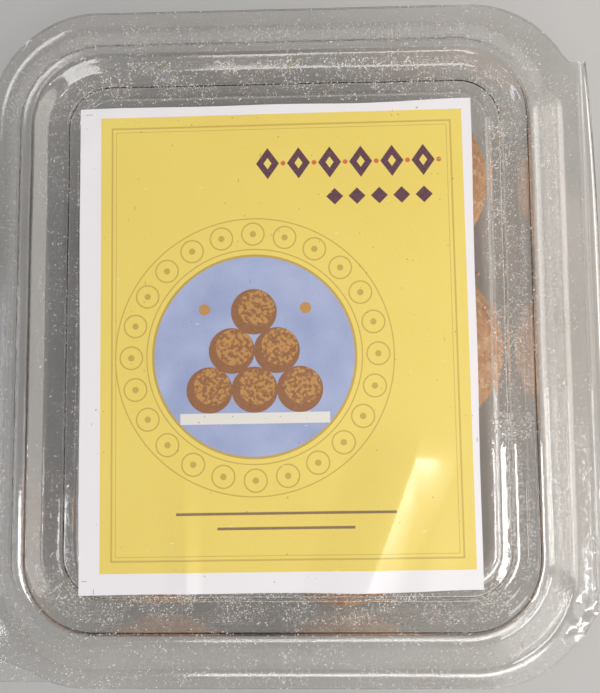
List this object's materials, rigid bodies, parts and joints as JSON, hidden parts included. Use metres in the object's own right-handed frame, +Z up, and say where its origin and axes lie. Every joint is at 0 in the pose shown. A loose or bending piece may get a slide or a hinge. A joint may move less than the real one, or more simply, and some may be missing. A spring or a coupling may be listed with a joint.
{
  "type": "clear hinged box of peanut ladoos",
  "caption": "Shut clear plastic clamshell box of round peanut sweets, with a plain paper label on the lid and a folding hinge along one side.",
  "frame": {"origin": "centre of the tray's underside, on the surface it stands on", "axes": "+Z up, +X towards the hinge side, +Y away from the viewer of the label, along the hinge"},
  "size_m": [0.141, 0.156, 0.0425],
  "materials": {
    "clear_sheet": "clear formed polyester sheet, glossy, with a haze of fine dust",
    "label_paper": "coated paper, white margin and a yellow printed field with plain shapes",
    "ladoo": "stands for pressed peanut and jaggery: coarse, crumbly and slightly oily"
  },
  "bodies": {
    "tray": {"tray": "clear_sheet", "ladoo_1": "ladoo", "ladoo_2": "ladoo", "ladoo_3": "ladoo", "ladoo_4": "ladoo", "ladoo_5": "ladoo", "ladoo_6": "ladoo"},
    "lid": {"lid": "clear_sheet", "label": "label_paper"}
  },
  "joints": [
    {"name": "lid_hinge", "type": "hinge", "parent": "tray", "child": "lid", "pos_m": [0.0732, 0, 0.0345], "axis": [0, 1, 0], "range_deg": [0, 180]}
  ]
}
